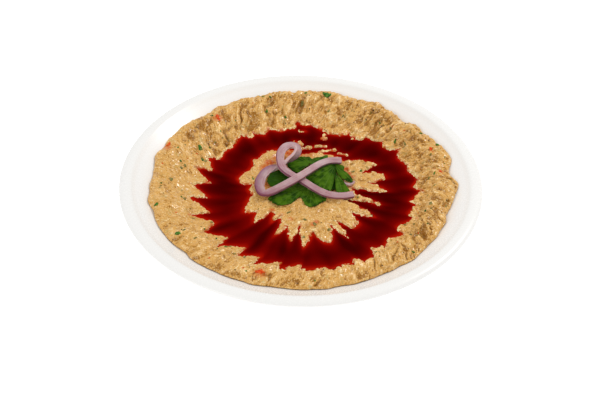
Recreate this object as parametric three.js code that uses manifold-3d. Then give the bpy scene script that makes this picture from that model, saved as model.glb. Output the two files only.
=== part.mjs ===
import * as THREE from 'three';
import { mergeVertices } from 'three/addons/utils/BufferGeometryUtils.js';
import Module from 'manifold-3d';

// A plate of baba ganoush. The aubergine dip is spread into a raised bank on a white plate,
// dark red sauce lies in the ring-shaped channel inside the bank, and a cut onion ring and
// parsley leaves lie on the mound in the middle.
// Millimetres, +Z up, origin at the centre of the plate's foot ring.

// Plate: flat well, curved wall, rounded bead at the edge, foot ring below.
const PLATE_RADIUS = 115;
const PLATE_HEIGHT = 24.2;
const PLATE_SIDES = 72;
const WELL_RADIUS = 70;
const WELL_TOP = 6;
const WALL_POWER = 1.37;
const WALL_STOPS = [0, 0.28, 0.5, 0.7, 0.86, 1];
const BEAD_HALF_WIDTH = 4.5;
const BEAD_HALF_HEIGHT = 2.2;
const BEAD_INNER_ANGLE = 140;
const BEAD_ANGLES = [115, 90, 62, 32, 2, -30];
const UNDERSIDE_START = 71;
const UNDERSIDE_LOW = 2;
const UNDERSIDE_MIDDLE = [93, 10.6];
const UNDERSIDE_END = 109;
const UNDERSIDE_HIGH = 18.9;
const FOOT_RADII = [62, 63, 69, 70];
const FOOT_DEPTH = 1.8;

// Dip: a mound in the middle, a channel, and a bank with its crest near the plate's wall.
const GAP = 0.3;
const DIP_SIDES = 144;
const RING_CENTRE = [3.5, -1];
const SAUCE_LEVEL = 12;
const SHORE_DROP = 0.7;
const CHANNEL_DEPTH = 1.7;
const MOUND_HEIGHT = 1.8;
const MOUND_RADII = [14, 40];
const EDGE_RADIUS = 96.4;
const EDGE_BACK = 1.5;
const CREST_HEIGHT = 21.4;
const CREST_TILT = [0.5, 1.3];
const BANK_WIDTH = 9.5;
const BANK_NARROWING = 3.5;

// Waves round the bank's edge and crest: waves per turn, height, phase in degrees.
const EDGE_WAVES = [[9, 0.5, 20], [17, 0.6, 63], [29, 0.45, 230], [41, 0.3, 115]];
const CREST_WAVES = [[7, 0.35, 80], [13, 0.4, 10], [23, 0.45, 200], [37, 0.3, 300]];

// Marks of the spoon on the edge: angle, how far it stands out, half width in degrees.
const EDGE_MARKS = [[1, 3.6, 4], [21, 4.4, 9], [62, 3.4, 4], [92, 1.4, 14], [150, 1, 14], [213, 1, 3]];

// Shore of the sauce, as angle and radius of each tooth and spike in turn. Teeth of dip point
// into the sauce, spikes of sauce point into the dip.
const OUTER_SHORE = [
  [3, 74], [7, 68.5], [13, 73], [19, 69.5], [25, 72], [28, 69], [38, 77], [42, 70],
  [47, 75], [52, 70], [57, 73], [60, 66], [67, 69.5], [77, 64.5], [88, 73], [91, 71],
  [95, 76], [98, 69], [102, 71], [106, 67], [110, 73], [116, 67], [120, 75], [123, 67],
  [128, 75.5], [138, 68.5], [141, 71], [148, 66.5], [152, 73.5], [160, 66], [163, 77], [172, 63.5],
  [175, 75], [185, 63], [186, 76], [198, 64], [200, 76], [209, 64], [211, 76], [222, 65],
  [224, 75], [234, 64], [236, 74], [245, 66], [247, 75], [257, 67], [259, 74.5], [268, 66.5],
  [271, 72], [279, 70], [282, 74], [288, 70], [291, 73], [295, 66.5], [298, 73], [304, 72],
  [308, 65], [315, 70], [320, 66], [327, 71], [331, 65], [341, 72], [345, 66], [350, 70],
  [355, 66.5],
];
const INNER_SHORE = [
  [5, 51], [13, 39], [21, 54], [29, 44], [34, 55], [50, 44], [60, 47], [68, 42],
  [79, 52], [88, 46], [97, 50], [110, 46], [126, 50], [130, 46], [135, 50], [139, 45],
  [146, 45.5], [155, 43], [164, 46], [172, 38], [190, 34], [207, 43.5], [212, 37], [222, 42.5],
  [227, 32], [233, 35], [236, 30], [244, 45.5], [251, 31.5], [258, 47], [262, 30], [268, 52],
  [275, 35], [285, 50], [295, 34], [300, 50], [305, 33], [315, 46.5], [326, 33], [332, 49],
  [343, 30], [348, 49], [358, 35],
];

// Rings of the dip's grid, as shares of the way across mound, channel, slope and outer wall.
const MOUND_SHARES = [0.3, 0.6, 0.85, 1];
const CHANNEL_SHARES = [0.25, 0.75, 1];
const SLOPE_SHARES = [0.1, 0.35, 0.65, 0.88, 1];
const WALL_SHARES = [0.45, 0.8, 0.97, 1];
const UNDER_SHARES = [0.96, 0.9, 0.8];

// Form of the dip's top: how steeply the mound falls to its shore, how straight the bank's slope
// is, and the height and lengths of the lumps, which are lower on the mound.
const MOUND_SHOULDER = 6;
const SLOPE_STRAIGHTNESS = 0.45;
const LUMP_HEIGHT = 0.45;
const LUMP_LENGTHS = [9.1, 16.9];
const LUMP_WAVES = 6;
const LUMP_SEED = 7;
const MOUND_LUMPS = 0.5;

// Flecks of herb and pepper that stand out of the dip: x, y, length, width, direction.
const FLECK_HEIGHT = 1.6;
const FLECK_STANDING = 0.4;
const FLECK_SIDES = [6, 4];
const HERB_FLECKS = [
  [16.3, 91.7, 6.4, 4.4, 150], [-30.9, 92.5, 3.6, 1.8, 160], [-67.4, 38.8, 5.6, 2.4, 120],
  [-65, 29.8, 3, 2, 110], [-89.5, -25.3, 3.4, 2.4, 10], [-73.8, -51.9, 4.6, 2.6, 170],
  [61.9, 50.6, 3.6, 1.6, 70], [78.8, 50.4, 3, 2, 140], [89, 39, 3, 2, 160],
  [95.5, 5.2, 3, 2, 120], [68.4, -62.7, 2.2, 1.6, 0], [-27.5, 89.3, 2.8, 1.6, 30],
];
const PEPPER_FLECKS = [
  [-56.8, 64.9, 5.4, 3, 110], [-87.5, 36, 4.6, 3, 50], [84.1, 34.1, 3, 2.2, 120],
  [89.4, 12.2, 3.4, 1.8, 100], [-22.7, -84.6, 7, 2.6, 170],
];

// Cut onion ring laid in two loops. The route gives x, y, z, the turn of the band about it, and
// its width.
const BAND_THICKNESS = 2.2;
const BAND_STEPS = 50;
const BAND_CORNER = 0.25;
const BAND_ROUTE = [
  [25.8, 23.5, 19.6, -22, 4.2], [18.6, 22.5, 20.2, -22, 4.3], [11.6, 17.5, 21, -20, 4.4],
  [5.1, 9.6, 22, -16, 4.6], [-1.2, 2.2, 22.7, -12, 4.8], [-7.2, -3, 22.2, -10, 5.2],
  [-13.2, -6.1, 20.4, -5, 5.4], [-19.2, -7.9, 18.1, 0, 5.6], [-24.1, -6.9, 16.5, 15, 6.2],
  [-26.3, -1, 15.9, 26, 6.4], [-26.4, 5, 15.8, 28, 6.3], [-25, 11.1, 15.8, 28, 5.8],
  [-22.2, 15.6, 16, 22, 5.4], [-18.3, 18.5, 16.4, 0, 5], [-13.5, 20.4, 16.8, -40, 4.6],
  [-9.1, 24.8, 17.6, -75, 4.4], [-4.8, 28.1, 19.1, -98, 4.8], [-2.6, 31.5, 20.4, -125, 5],
  [-3.5, 35.7, 21, -160, 5], [-7.2, 36.6, 21.3, -185, 4.8], [-11, 34.3, 21.3, -203, 5],
  [-13.7, 28.8, 21, -208, 5.3], [-13.9, 22.3, 20.7, -203, 5.3], [-12.8, 16.1, 20.3, -195, 5.2],
  [-10.3, 11.6, 20, -190, 5], [-5.6, 7.2, 19.7, -185, 4.8], [0.3, 2.5, 19.6, -182, 4.7],
  [3.9, -0.6, 19.5, -176, 4.6], [7.7, -3.9, 19.2, -170, 4.5], [11.9, -6.7, 18.7, -165, 4.4],
  [16.1, -8.7, 18.1, -162, 4.3], [21.2, -9.2, 17.3, -160, 4.3], [27, -8.3, 16.4, -160, 4.2],
  [33.4, -5.7, 15.6, -160, 4.2],
];
const SLIVER_THICKNESS = 1.6;
const SLIVER_STEPS = 10;
const SLIVER_ROUTE = [
  [21.5, 10.6, 15.5, 0, 2], [24.3, 7.3, 15.3, 0, 2], [27.5, 5, 15, 0, 2], [31.2, 4.6, 14.7, 0, 2],
  [34, 7.6, 14.5, 0, 2],
];

// Parsley leaflets. Each has its stalk end, the height of its edge, how far it arches, and its
// outline as the angle and radius of each lobe and notch about the stalk end.
const LEAF_THICKNESS = 0.5;
const LEAF_STALK = 0.8;
const STALK_THICKNESS = 0.9;
const STALK_STEPS = 4;
const LEAF_RINGS = 3;
const LEAF_WAVE = 0.25;
const LEAVES = [
  { name: 'parsley_leaf_back', fans: [
    { base: [5.4, 23.4, 16.4], edge: 15.8, arch: 0.5, outline: [
      [239, 8.1], [216, 11.8], [187, 12.7], [177, 13.4], [142, 11.6], [105, 9.5], [83, 7.1], [65, 9],
      [47, 15.3], [37, 15.2], [20, 9.6],
    ] },
  ] },
  { name: 'parsley_leaf_left', fans: [
    { base: [-6.1, 9.2, 16], edge: 15.5, arch: 0.5, outline: [
      [105, 7.7], [124, 10.4], [144, 13.1], [162, 14.4], [187, 15.9], [212, 15.6], [226, 10.5], [234, 4.7],
    ] },
  ] },
  { name: 'parsley_leaf_front_left', fans: [
    { base: [3.3, 1.2, 16], edge: 15.5, arch: 0.4, outline: [
      [169, 7.6], [198, 17], [205, 26.3], [214, 27], [225, 25.7], [234, 23], [242, 17.2], [246, 12],
      [249, 8], [252, 4.5],
    ] },
  ] },
  { name: 'parsley_leaf_front', fans: [
    { base: [6.6, -0.9, 15.8], edge: 15.5, arch: 0.3, outline: [
      [226, 10.5], [249, 13.5], [268, 17.6], [282, 16.5], [295, 14.3], [316, 13.4], [326, 10.7], [334, 5.7],
    ] },
  ] },
  { name: 'parsley_leaf_top', fans: [
    { base: [21.7, 20.4, 18.4], edge: 17.4, arch: 0.6, outline: [
      [152, 5], [198, 14.6], [214, 22.8], [229, 22.5], [238, 23.5], [252, 25.7], [260, 24.6], [262.5, 25.8],
      [266, 19.1], [271, 7],
    ] },
    { base: [21.7, 20.3, 18.2], edge: 17, arch: 0.5, outline: [
      [278, 3.4], [290, 11.8], [302, 17.9], [306, 18.7], [313, 16.9], [333, 7.1], [358, 5.7],
    ] },
    { base: [21.7, 12.4, 17.8], edge: 16.8, arch: 0.5, outline: [
      [272, 6.9], [273, 17.2], [286, 17.8], [301, 17.9], [309, 11.5], [316, 3],
    ] },
  ], stalk: [[21.7, 21.2, 18, 0, 1.8], [21.7, 17, 18.1, 0, 1.8], [21.7, 11.8, 17.7, 0, 1.8]] },
];

const manifold = await Module();
manifold.setup();

const radians = THREE.MathUtils.degToRad;

function seededRandom(seed) {
  let state = seed;
  return () => {
    state = (state * 1664525 + 1013904223) % 4294967296;
    return state / 4294967296;
  };
}

// Closed geometry from corner points and triangles, turned so that its faces point out.
function closedGeometry(points, triangles) {
  const [a, b, c] = [new THREE.Vector3(), new THREE.Vector3(), new THREE.Vector3()];
  let volume = 0;
  for (const [i, j, k] of triangles) {
    volume += a.copy(points[i]).dot(b.copy(points[j]).cross(c.copy(points[k])));
  }
  const faces = volume > 0 ? triangles : triangles.map(([i, j, k]) => [i, k, j]);
  const geometry = new THREE.BufferGeometry().setFromPoints(points);
  geometry.setIndex(faces.flat());
  geometry.computeVertexNormals();
  return geometry;
}

// Skin over a run of rings with equal counts of points. It ends in two poles, or runs back
// into its first ring when there are none.
function ringGeometry(rings, poles) {
  const count = rings[0].length;
  const points = rings.flat();
  const triangles = [];
  const bands = poles ? rings.length - 1 : rings.length;
  for (let i = 0; i < bands; i += 1) {
    const near = i * count;
    const far = ((i + 1) % rings.length) * count;
    for (let j = 0; j < count; j += 1) {
      const next = (j + 1) % count;
      triangles.push([near + j, far + j, far + next]);
      triangles.push([near + j, far + next, near + next]);
    }
  }
  if (poles) {
    const last = (rings.length - 1) * count;
    const first = points.push(poles[0]) - 1;
    const end = points.push(poles[1]) - 1;
    for (let j = 0; j < count; j += 1) {
      const next = (j + 1) % count;
      triangles.push([first, j, next]);
      triangles.push([end, last + next, last + j]);
    }
  }
  return closedGeometry(points, triangles);
}

// Thin solid between two grids of points, both split into triangles alike.
function sheetGeometry(top, bottom) {
  const rows = top.length;
  const columns = top[0].length;
  const points = [...top.flat(), ...bottom.flat()];
  const under = rows * columns;
  const at = (row, column) => row * columns + column;
  const triangles = [];
  for (let row = 0; row + 1 < rows; row += 1) {
    for (let column = 0; column + 1 < columns; column += 1) {
      const [a, b] = [at(row, column), at(row, column + 1)];
      const [c, d] = [at(row + 1, column + 1), at(row + 1, column)];
      triangles.push([a, b, c], [a, c, d]);
      triangles.push([under + a, under + c, under + b], [under + a, under + d, under + c]);
    }
  }
  const rim = [];
  for (let column = 0; column + 1 < columns; column += 1) rim.push(at(0, column));
  for (let row = 0; row + 1 < rows; row += 1) rim.push(at(row, columns - 1));
  for (let column = columns - 1; column > 0; column -= 1) rim.push(at(rows - 1, column));
  for (let row = rows - 1; row > 0; row -= 1) rim.push(at(row, 0));
  rim.forEach((a, i) => {
    const b = rim[(i + 1) % rim.length];
    triangles.push([a, under + a, under + b], [a, under + b, b]);
  });
  return closedGeometry(points, triangles);
}

function toManifold(geometry) {
  const bare = geometry.clone();
  bare.deleteAttribute('normal');
  bare.deleteAttribute('uv');
  const merged = mergeVertices(bare);
  return new manifold.Manifold(new manifold.Mesh({
    numProp: 3,
    vertProperties: new Float32Array(merged.attributes.position.array),
    triVerts: new Uint32Array(merged.index.array),
  }));
}

function toGeometry(body) {
  const mesh = body.getMesh();
  const geometry = new THREE.BufferGeometry();
  geometry.setAttribute('position', new THREE.BufferAttribute(mesh.vertProperties, 3));
  geometry.setIndex(new THREE.BufferAttribute(mesh.triVerts, 1));
  geometry.computeVertexNormals();
  return geometry;
}

function fuse(geometries) {
  const bodies = geometries.map(toManifold);
  return toGeometry(bodies.slice(1).reduce((whole, body) => whole.add(body), bodies[0]));
}

// Plate wall from the well out to the bead, as radius and height.
function beadPoint(degrees) {
  const angle = radians(degrees);
  return new THREE.Vector2(
    PLATE_RADIUS - BEAD_HALF_WIDTH + BEAD_HALF_WIDTH * Math.cos(angle),
    PLATE_HEIGHT - BEAD_HALF_HEIGHT + BEAD_HALF_HEIGHT * Math.sin(angle),
  );
}

const wallEnd = beadPoint(BEAD_INNER_ANGLE);
const wallPoints = WALL_STOPS.map((share) => new THREE.Vector2(
  WELL_RADIUS + share * (wallEnd.x - WELL_RADIUS),
  WELL_TOP + share ** WALL_POWER * (wallEnd.y - WELL_TOP),
));

function plateTop(radius) {
  if (radius <= WELL_RADIUS) return WELL_TOP;
  const outer = wallPoints.findIndex((point) => point.x > radius);
  const [from, to] = [wallPoints[outer - 1], wallPoints[outer]];
  return THREE.MathUtils.mapLinear(radius, from.x, to.x, from.y, to.y);
}

function plateGeometry() {
  const bead = BEAD_ANGLES.map(beadPoint);
  const underside = [
    new THREE.Vector2(UNDERSIDE_END, UNDERSIDE_HIGH),
    new THREE.Vector2(...UNDERSIDE_MIDDLE),
    new THREE.Vector2(UNDERSIDE_START, UNDERSIDE_LOW),
  ];
  const foot = [
    new THREE.Vector2(FOOT_RADII[3], FOOT_DEPTH),
    new THREE.Vector2(FOOT_RADII[2], 0),
    new THREE.Vector2(FOOT_RADII[1], 0),
    new THREE.Vector2(FOOT_RADII[0], FOOT_DEPTH),
  ];
  const profile = [
    new THREE.Vector2(0, WELL_TOP), ...wallPoints, ...bead,
    ...underside, ...foot, new THREE.Vector2(0, FOOT_DEPTH),
  ];
  return new THREE.LatheGeometry(profile.reverse(), PLATE_SIDES).rotateX(Math.PI / 2);
}

// Sum of waves round the ring at an angle in degrees.
function turnWaves(waves, degrees) {
  return waves.reduce((sum, [turns, height, phase]) => {
    return sum + height * Math.cos(radians(turns * degrees + phase));
  }, 0);
}

function markOffset(degrees) {
  return EDGE_MARKS.reduce((sum, [angle, out, halfWidth]) => {
    const away = THREE.MathUtils.euclideanModulo(degrees - angle + 180, 360) - 180;
    return sum + out * Math.exp(-((away / halfWidth) ** 2));
  }, 0);
}

function shoreRadius(shore, degrees) {
  const angle = THREE.MathUtils.euclideanModulo(degrees, 360);
  let to = shore.findIndex((point) => point[0] > angle);
  if (to < 0) to = 0;
  const from = (to + shore.length - 1) % shore.length;
  const span = THREE.MathUtils.euclideanModulo(shore[to][0] - shore[from][0], 360);
  const along = THREE.MathUtils.euclideanModulo(angle - shore[from][0], 360) / span;
  return THREE.MathUtils.lerp(shore[from][1], shore[to][1], along);
}

function edgeRadius(degrees) {
  const [across, along] = [Math.cos(radians(degrees)), Math.sin(radians(degrees))];
  const round = EDGE_RADIUS - RING_CENTRE[0] * across - RING_CENTRE[1] * along;
  return round + EDGE_BACK * along + turnWaves(EDGE_WAVES, degrees) + markOffset(degrees);
}

function crestHeight(degrees) {
  const angle = radians(degrees);
  const level = CREST_HEIGHT + CREST_TILT[0] * Math.cos(angle) + CREST_TILT[1] * Math.sin(angle);
  return level + turnWaves(CREST_WAVES, degrees);
}

// Radii where the dip changes form, along one direction from the ring's centre.
function dipRadii(degrees) {
  const edge = edgeRadius(degrees);
  return {
    inner: shoreRadius(INNER_SHORE, degrees),
    outer: shoreRadius(OUTER_SHORE, degrees),
    crest: edge - BANK_WIDTH + BANK_NARROWING * Math.sin(radians(degrees)),
    edge,
  };
}

function spread(degrees, radius) {
  const angle = radians(degrees);
  return [RING_CENTRE[0] + radius * Math.cos(angle), RING_CENTRE[1] + radius * Math.sin(angle)];
}

function underHeight(degrees, radius) {
  return plateTop(Math.hypot(...spread(degrees, radius))) + GAP;
}

const lumpRandom = seededRandom(LUMP_SEED);
const lumpWaves = Array.from({ length: LUMP_WAVES }, () => {
  const turn = 2 * Math.PI * lumpRandom();
  const pace = 2 * Math.PI / THREE.MathUtils.lerp(...LUMP_LENGTHS, lumpRandom());
  return [pace * Math.cos(turn), pace * Math.sin(turn), 2 * Math.PI * lumpRandom()];
});

function lumps(x, y) {
  const sum = lumpWaves.reduce((total, [across, along, phase]) => {
    return total + Math.sin(across * x + along * y + phase);
  }, 0);
  return LUMP_HEIGHT * sum / Math.sqrt(LUMP_WAVES);
}

// Height of the dip's top at an angle and radius from the ring's centre.
function dipTop(degrees, radius) {
  const { inner, outer, crest, edge } = dipRadii(degrees);
  const shore = SAUCE_LEVEL - SHORE_DROP;
  const rough = lumps(...spread(degrees, radius));
  if (radius < inner) {
    const mound = 1 - THREE.MathUtils.smoothstep(radius, ...MOUND_RADII);
    const shoulder = 1 - (radius / inner) ** MOUND_SHOULDER;
    return shore + (2 * SHORE_DROP + MOUND_HEIGHT * mound + MOUND_LUMPS * rough) * shoulder;
  }
  if (radius < outer) {
    const across = (radius - inner) / (outer - inner);
    return shore - CHANNEL_DEPTH * Math.sin(Math.PI * across);
  }
  const top = crestHeight(degrees);
  if (radius < crest) {
    const up = (radius - outer) / (crest - outer);
    const rise = THREE.MathUtils.lerp(THREE.MathUtils.smoothstep(up, 0, 1), up, SLOPE_STRAIGHTNESS);
    return shore + (top - shore) * rise + rough * Math.sin(Math.PI * up);
  }
  const out = Math.min((radius - crest) / (edge - crest), 1);
  const foot = underHeight(degrees, edge);
  return foot + (top - foot) * Math.sqrt(1 - out * out);
}

function ringPoints(radiusAt, heightAt) {
  return Array.from({ length: DIP_SIDES }, (_, i) => {
    const degrees = i * 360 / DIP_SIDES;
    const radius = radiusAt(dipRadii(degrees));
    return new THREE.Vector3(...spread(degrees, radius), heightAt(degrees, radius));
  });
}

function betweenRings(shares, from, to, heightAt) {
  return shares.map((share) => {
    return ringPoints((radii) => THREE.MathUtils.lerp(from(radii), to(radii), share), heightAt);
  });
}

const atCentre = () => 0;
const atInner = (radii) => radii.inner;
const atOuter = (radii) => radii.outer;
const atCrest = (radii) => radii.crest;
const atEdge = (radii) => radii.edge;

function dipBody() {
  const rings = [
    ...betweenRings(MOUND_SHARES, atCentre, atInner, dipTop),
    ...betweenRings(CHANNEL_SHARES, atInner, atOuter, dipTop),
    ...betweenRings(SLOPE_SHARES, atOuter, atCrest, dipTop),
    ...betweenRings(WALL_SHARES, atCrest, atEdge, dipTop),
    ...betweenRings(UNDER_SHARES, atCentre, atEdge, underHeight),
  ];
  const top = new THREE.Vector3(...RING_CENTRE, dipTop(0, 0));
  const bottom = new THREE.Vector3(...RING_CENTRE, WELL_TOP + GAP);
  return ringGeometry(rings, [top, bottom]);
}

function fleckGeometry([x, y, length, width, turn]) {
  const [across, along] = [x - RING_CENTRE[0], y - RING_CENTRE[1]];
  const degrees = THREE.MathUtils.radToDeg(Math.atan2(along, across));
  const height = dipTop(degrees, Math.hypot(across, along));
  return new THREE.SphereGeometry(1 / 2, ...FLECK_SIDES)
    .scale(length, width, FLECK_HEIGHT)
    .rotateZ(radians(turn))
    .translate(x, y, height + FLECK_STANDING);
}

function dipGeometry() {
  return fuse([dipBody(), ...[...HERB_FLECKS, ...PEPPER_FLECKS].map(fleckGeometry)]);
}

// The sauce fills the channel over the dip's own grid, a gap above it, up to its level.
function sauceGeometry() {
  const shares = [0, ...CHANNEL_SHARES];
  const top = betweenRings(shares, atInner, atOuter, () => SAUCE_LEVEL);
  const low = betweenRings(shares, atInner, atOuter, (degrees, radius) => {
    const { inner, outer } = dipRadii(degrees);
    const across = (radius - inner) / (outer - inner);
    return SAUCE_LEVEL - SHORE_DROP + GAP - CHANNEL_DEPTH * Math.sin(Math.PI * across);
  });
  return ringGeometry([...top, ...low.reverse()]);
}

// Band of onion: a flat section with cut corners, carried along its route and turned about it.
function bandGeometry(route, steps, thickness) {
  const curve = new THREE.CatmullRomCurve3(route.map(([x, y, z]) => new THREE.Vector3(x, y, z)));
  const high = thickness / 2;
  const cut = BAND_CORNER * thickness;
  const rings = Array.from({ length: steps + 1 }, (_, i) => {
    const place = i / steps;
    const middle = curve.getPoint(place);
    const ahead = curve.getTangent(place);
    const spot = place * (route.length - 1);
    const from = Math.min(Math.floor(spot), route.length - 2);
    const [near, far] = [route[from], route[from + 1]];
    const between = (value) => THREE.MathUtils.lerp(near[value], far[value], spot - from);
    const turn = radians(between(3));
    const wide = between(4) / 2;
    const section = [
      [wide, high - cut], [wide - cut, high], [cut - wide, high], [-wide, high - cut],
      [-wide, cut - high], [cut - wide, -high], [wide - cut, -high], [wide, cut - high],
    ];
    const side = ahead.clone().cross(new THREE.Vector3(0, 0, 1)).normalize().applyAxisAngle(ahead, turn);
    const up = side.clone().cross(ahead);
    return section.map(([across, over]) => {
      return middle.clone().addScaledVector(side, across).addScaledVector(up, over);
    });
  });
  return ringGeometry(rings, [curve.getPoint(0), curve.getPoint(1)]);
}

// One leaflet: a fan from the stalk end out to its outline, with its lobes and notches waved.
function fanGeometry({ base, edge, arch, outline }) {
  const top = outline.map(([degrees, reach], lobe) => {
    const angle = radians(degrees);
    return Array.from({ length: LEAF_RINGS + 1 }, (_, ring) => {
      const out = ring / LEAF_RINGS;
      const radius = LEAF_STALK + out * (reach - LEAF_STALK);
      const wave = LEAF_WAVE * out * (lobe % 2 ? 1 : -1);
      const height = THREE.MathUtils.lerp(base[2], edge, out) + arch * Math.sin(Math.PI * out) + wave;
      const [x, y] = [base[0] + radius * Math.cos(angle), base[1] + radius * Math.sin(angle)];
      return new THREE.Vector3(x, y, height);
    });
  });
  const bottom = top.map((line) => line.map((point) => point.clone().setZ(point.z - LEAF_THICKNESS)));
  return sheetGeometry(top, bottom);
}

function leafGeometry({ fans, stalk }) {
  const parts = fans.map(fanGeometry);
  if (stalk) parts.push(bandGeometry(stalk, STALK_STEPS, STALK_THICKNESS));
  return fuse(parts);
}

function piece(name, geometry, finish) {
  const mesh = new THREE.Mesh(geometry, new THREE.MeshStandardMaterial(finish));
  mesh.name = name;
  return mesh;
}

const GLAZE = { color: 0xf8f6f2, roughness: 0.15, metalness: 0 };
const DIP = { color: 0xd4a768, roughness: 0.6, metalness: 0 };
const SAUCE = { color: 0x5f0000, roughness: 0.2, metalness: 0 };
const ONION = { color: 0xb49aa0, roughness: 0.35, metalness: 0 };
const PARSLEY = { color: 0x3b5a0e, roughness: 0.4, metalness: 0 };

const dish = new THREE.Group();
dish.add(piece('plate', plateGeometry(), GLAZE));
dish.add(piece('dip', dipGeometry(), DIP));
dish.add(piece('sauce', sauceGeometry(), SAUCE));
const ring = bandGeometry(BAND_ROUTE, BAND_STEPS, BAND_THICKNESS);
const sliver = bandGeometry(SLIVER_ROUTE, SLIVER_STEPS, SLIVER_THICKNESS);
dish.add(piece('onion_ring', ring, ONION));
dish.add(piece('onion_sliver', sliver, ONION));
for (const leaf of LEAVES) {
  dish.add(piece(leaf.name, leafGeometry(leaf), PARSLEY));
}

export default dish;
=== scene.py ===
import itertools
import math

import bpy
import numpy as np
from mathutils import Matrix, Vector
from mathutils.kdtree import KDTree


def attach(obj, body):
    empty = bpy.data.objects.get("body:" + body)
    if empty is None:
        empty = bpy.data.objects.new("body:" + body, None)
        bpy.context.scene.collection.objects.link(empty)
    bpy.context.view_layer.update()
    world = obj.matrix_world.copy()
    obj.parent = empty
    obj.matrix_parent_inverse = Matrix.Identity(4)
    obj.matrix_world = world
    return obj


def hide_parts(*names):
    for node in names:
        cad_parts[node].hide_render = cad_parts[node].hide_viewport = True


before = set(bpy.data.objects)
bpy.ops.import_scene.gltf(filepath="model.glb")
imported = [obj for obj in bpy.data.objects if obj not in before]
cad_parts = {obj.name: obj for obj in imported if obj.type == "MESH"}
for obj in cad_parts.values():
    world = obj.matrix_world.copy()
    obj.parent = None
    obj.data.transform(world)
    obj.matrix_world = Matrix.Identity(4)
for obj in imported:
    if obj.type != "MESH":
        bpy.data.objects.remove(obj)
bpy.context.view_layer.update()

# ------------------------
# Plate. A thrown white stoneware plate with a flat well, a curved wall and a rounded bead at its
# edge, dipped in white glaze. The bead is painted a little darker, as painted shade, and a line of
# painted shade runs where the wall meets it.
plate_radius = 115.0
plate_height = 24.2
plate_turns = 288
well_radius = 70.0
well_top = 6.0
wall_power = 1.37
bead_half = (4.5, 2.2)
bead_angles = (140, -30)
bead_steps = 18
wall_steps = 16
underside = ((109, 18.9), (93, 10.6), (71, 2))
recess_top = 1.8
foot_ring = ((70, recess_top), (69, 0), (63, 0), (62, recess_top))
glaze_white = (0.866, 0.867, 0.864, 1)
glaze_cream = (0.876, 0.86, 0.834, 1)
# The next two are painted shade: a darker bead, and a line of shade where the wall meets it.
glaze_rim_shaded = (0.842, 0.837, 0.823, 1)
glaze_join_shaded = (0.80, 0.755, 0.70, 1)
bead_join = 105.6
join_half = 1.1


def rings_skin(rings, poles=()):
    """Points and faces of a skin over rings of points. It ends in two poles, or runs back into
    its first ring when there are none."""
    count = len(rings[0])
    points = np.concatenate(rings)
    near = np.arange(len(rings) - (1 if len(poles) else 0))
    row, column = np.meshgrid(near, np.arange(count), indexing="ij")
    after = (row + 1) % len(rings)
    beside = (column + 1) % count
    corners = [row * count + column, row * count + beside, after * count + beside, after * count + column]
    faces = np.stack(corners, axis=-1).reshape(-1, 4).tolist()
    for pole, first, step in zip(poles, (0, (len(rings) - 1) * count), (-1, 1)):
        for i in range(count):
            pair = [first + i, first + (i + 1) % count]
            faces.append([len(points)] + pair[::step])
        points = np.concatenate([points, np.array([pole], float)])
    return points, faces


def mould(name, points, faces, marks={}, material=None, node=None, slot=None):
    """Makes a piece from points in millimetres, with its faces turned out. The marks are values
    kept at its points, which its finish reads."""
    points = np.asarray(points, float) / 1000
    solid = sum(
        points[face[0]].dot(np.cross(points[face[i]], points[face[i + 1]]))
        for face in faces[:: max(1, len(faces) // 20000)]
        for i in range(1, len(face) - 1)
    )
    if solid < 0:
        faces = [face[::-1] for face in faces]
    mesh = bpy.data.meshes.new(name)
    mesh.from_pydata(points.tolist(), [], faces)
    for mark, values in marks.items():
        kept = mesh.attributes.new(mark, "FLOAT", "POINT")
        kept.data.foreach_set("value", np.asarray(values, np.float32))
    mesh.shade_smooth()
    if material:
        mesh.materials.append(material)
    piece = bpy.data.objects.new(name, mesh)
    bpy.context.scene.collection.objects.link(piece)
    if node:
        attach(piece, "root")
        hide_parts(node)
    return piece


class Flow:
    """One value that flows through a material's nodes. Arithmetic on it adds Math nodes."""

    def __init__(self, tree, socket=None):
        self.tree = tree
        self.socket = socket

    def node(self, kind, settings={}, inputs={}, output=0):
        """Adds a node of a kind, with its settings and the values or links of its inputs."""
        made = self.tree.nodes.new("ShaderNode" + kind)
        for name, value in settings.items():
            if name == "stops":
                ramp = made.color_ramp
                while len(ramp.elements) < len(value):
                    ramp.elements.new(1.0)
                for stop, (place, colour) in zip(ramp.elements, value):
                    stop.position = place
                    stop.color = colour
            else:
                setattr(made, name, value)
        for name, value in inputs.items():
            if isinstance(value, Flow):
                self.tree.links.new(value.socket, made.inputs[name])
            else:
                made.inputs[name].default_value = value
        return Flow(self.tree, made.outputs[output])

    def math(self, operation, *values):
        return self.node("Math", {"operation": operation}, dict(enumerate(values)))

    def __add__(self, other):
        return self.math("ADD", self, other)

    def __sub__(self, other):
        return self.math("SUBTRACT", self, other)

    def __rsub__(self, other):
        return self.math("SUBTRACT", other, self)

    def __mul__(self, other):
        return self.math("MULTIPLY", self, other)

    __radd__ = __add__
    __rmul__ = __mul__

    def ease(self, low, high):
        """Goes smoothly from 0 at low to 1 at high."""
        inputs = {"Value": self, "From Min": low, "From Max": high}
        return self.node("MapRange", {"interpolation_type": "SMOOTHSTEP"}, inputs)

    def blend(self, first, second):
        """A colour that goes from the first to the second as this value goes from 0 to 1."""
        return self.node("Mix", {"data_type": "RGBA"}, {0: self, 6: first, 7: second}, output=2)

    def place(self):
        return self.node("TexCoord", output=3)

    def mark(self, name):
        return self.node("Attribute", {"attribute_name": name}, output=2)

    def mottle(self, size, detail=2, place=None, roughness=0.5):
        """Uneven value about 0.5, in spots of a size in millimetres."""
        inputs = {"Vector": place or self.place(), "Scale": 1000 / size, "Detail": detail}
        return self.node("TexNoise", {}, {**inputs, "Roughness": roughness})

    def relief(self, strength, depth):
        """Normal of a surface that stands out by this value times a depth in millimetres."""
        return self.node("Bump", {}, {"Height": self, "Strength": strength, "Distance": depth / 1000})


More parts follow.
